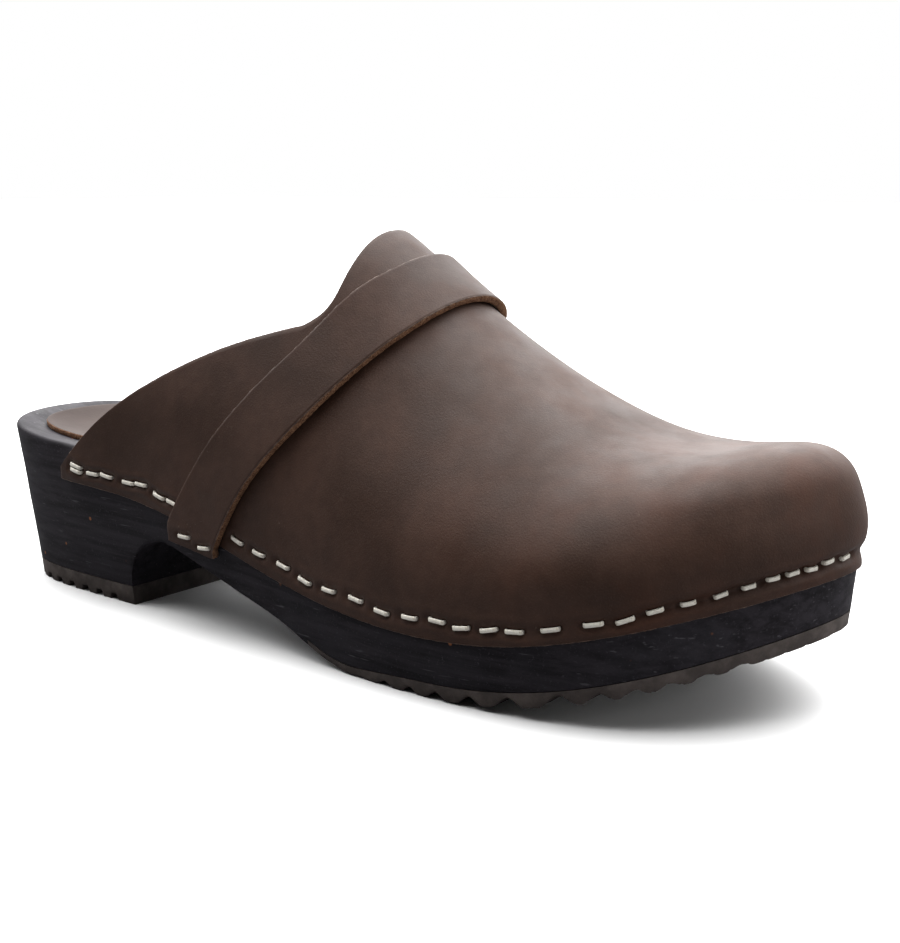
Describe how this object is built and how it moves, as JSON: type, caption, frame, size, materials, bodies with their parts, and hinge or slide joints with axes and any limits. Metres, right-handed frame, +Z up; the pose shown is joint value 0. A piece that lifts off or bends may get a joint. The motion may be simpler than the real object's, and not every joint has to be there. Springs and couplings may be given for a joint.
{
  "type": "wooden clog",
  "caption": "Right-foot closed-toe clog: one-piece wooden sole and heel with rubber treads, leather insole, and a one-piece leather upper and instep strap stapled round the sole.",
  "frame": {"origin": "middle of the bounding box in X and Y, at the ground the treads stand on", "axes": "+X towards the toe, +Y towards the inner (medial) side of the foot, +Z up"},
  "size_m": [0.2876, 0.1046, 0.1146],
  "materials": {
    "stained_wood": "blue-black stain, satin, with small unstained flecks",
    "rubber": "matt dark grey-brown",
    "insole_leather": "smooth taupe with a raw tan edge",
    "leather": "oiled nubuck, dark brown, with a raw tan edge",
    "staple_wire": "cream-coated flat wire"
  },
  "bodies": {
    "root": {"wooden_sole": "stained_wood", "heel_tread": "rubber", "sole_tread": "rubber", "insole": "insole_leather", "upper": "leather", "instep_strap": "leather", "staple_outer_01": "staple_wire", "staple_outer_02": "staple_wire", "staple_outer_03": "staple_wire", "staple_outer_04": "staple_wire", "staple_outer_05": "staple_wire", "staple_outer_06": "staple_wire", "staple_outer_07": "staple_wire", "staple_outer_08": "staple_wire", "staple_outer_09": "staple_wire", "staple_outer_10": "staple_wire", "staple_outer_11": "staple_wire", "staple_outer_12": "staple_wire", "staple_outer_13": "staple_wire", "staple_outer_14": "staple_wire", "staple_outer_15": "staple_wire", "staple_outer_16": "staple_wire", "staple_outer_17": "staple_wire", "staple_outer_18": "staple_wire", "staple_outer_19": "staple_wire", "staple_outer_20": "staple_wire", "staple_outer_21": "staple_wire", "staple_outer_22": "staple_wire", "staple_outer_23": "staple_wire", "staple_outer_24": "staple_wire", "staple_outer_25": "staple_wire", "staple_outer_26": "staple_wire", "staple_outer_27": "staple_wire", "staple_outer_28": "staple_wire", "staple_outer_29": "staple_wire", "staple_outer_30": "staple_wire", "staple_doubled_1": "staple_wire", "staple_doubled_2": "staple_wire", "staple_strap_outer_1": "staple_wire", "staple_strap_outer_2": "staple_wire", "staple_strap_inner_1": "staple_wire", "staple_strap_inner_2": "staple_wire", "staple_inner_01": "staple_wire", "staple_inner_02": "staple_wire", "staple_inner_03": "staple_wire", "staple_inner_04": "staple_wire", "staple_inner_05": "staple_wire", "staple_inner_06": "staple_wire", "staple_inner_07": "staple_wire", "staple_inner_08": "staple_wire", "staple_inner_09": "staple_wire", "staple_inner_10": "staple_wire", "staple_inner_11": "staple_wire", "staple_inner_12": "staple_wire", "staple_inner_13": "staple_wire", "staple_inner_14": "staple_wire", "staple_inner_15": "staple_wire", "staple_inner_16": "staple_wire", "staple_inner_17": "staple_wire", "staple_inner_18": "staple_wire"}
  },
  "joints": []
}
